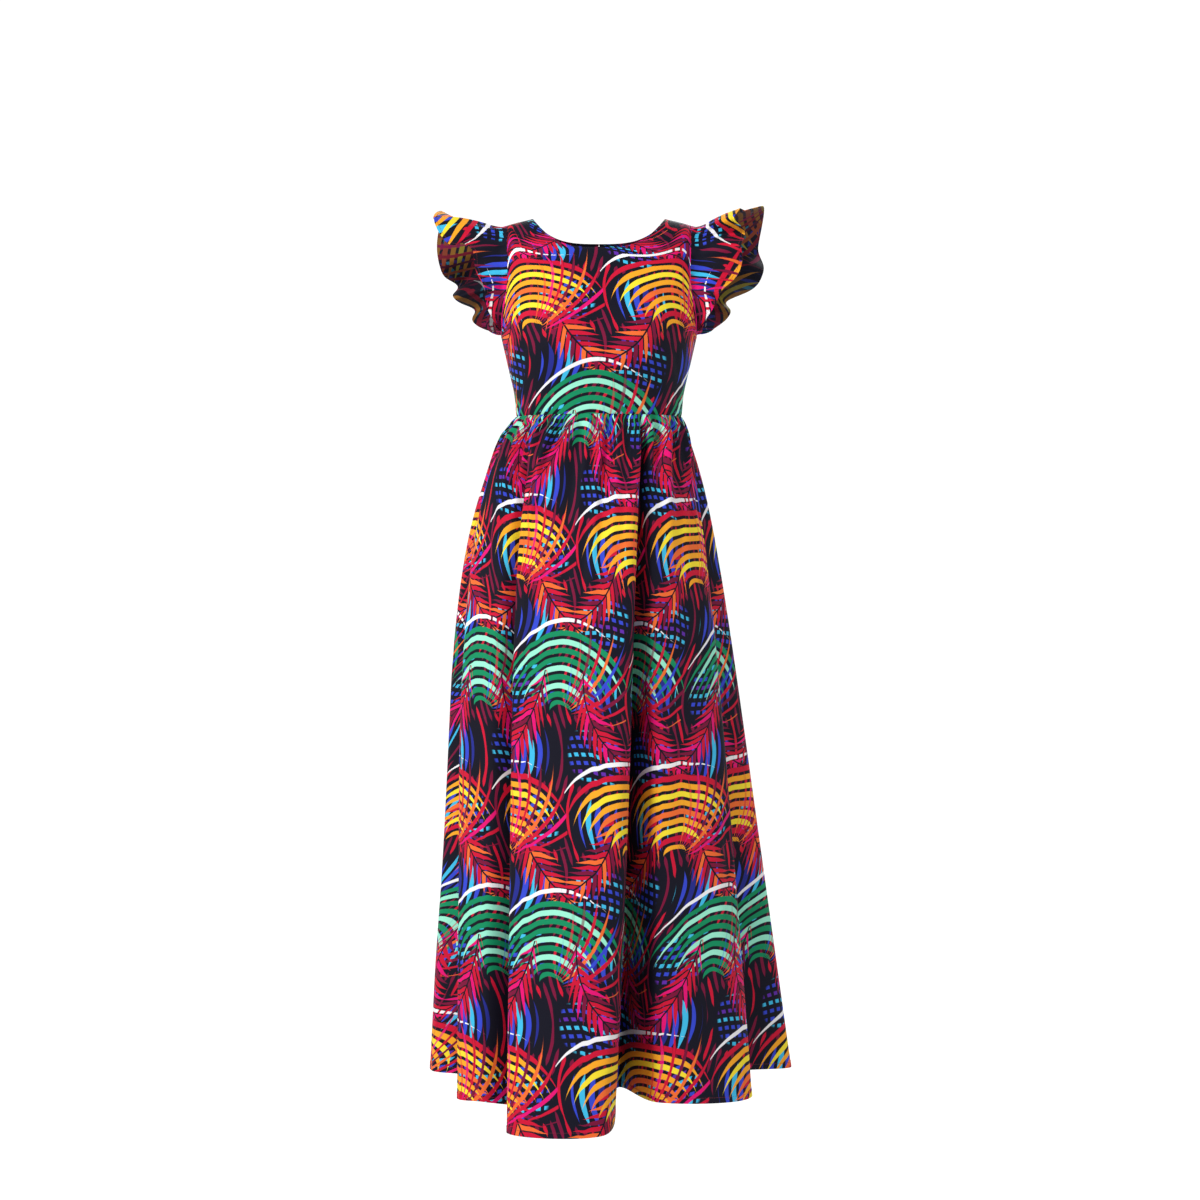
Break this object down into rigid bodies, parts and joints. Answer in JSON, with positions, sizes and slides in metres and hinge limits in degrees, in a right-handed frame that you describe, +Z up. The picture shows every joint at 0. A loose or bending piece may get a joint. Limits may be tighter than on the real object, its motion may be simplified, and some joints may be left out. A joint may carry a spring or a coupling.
{
  "type": "ankara wax print dress",
  "caption": "Worn-form maxi dress: scoop neck, fitted bodice, flared ruffles at the armholes, gathered full skirt in deep folds, concealed back zip.",
  "frame": {"origin": "midway between the two shoulder seams, level with them, where the wearer's shoulders carry the dress", "axes": "+Z up along the wearer, -Y out of the front, +X towards the wearer's left side"},
  "size_m": [0.5779, 0.5132, 1.4377],
  "materials": {
    "print_cotton": "plain-weave cotton with a light wax sheen, printed in many colours",
    "zip_tape": "woven polyester tape",
    "slider_metal": "dark enamel"
  },
  "bodies": {
    "dress": {"bodice_front": "print_cotton", "bodice_back_left": "print_cotton", "bodice_back_right": "print_cotton", "skirt_front": "print_cotton", "skirt_back_left": "print_cotton", "skirt_back_right": "print_cotton", "ruffle_left": "print_cotton", "ruffle_right": "print_cotton", "zip_tape": "zip_tape", "zip_slider": "slider_metal"},
    "pull_tab": {"zip_pull": "slider_metal"}
  },
  "joints": [
    {"name": "pull_tab_swing", "type": "hinge", "parent": "dress", "child": "pull_tab", "pos_m": [0, 0.07598, -0.03876], "axis": [1, 0, 0], "range_deg": [0, 150]}
  ]
}
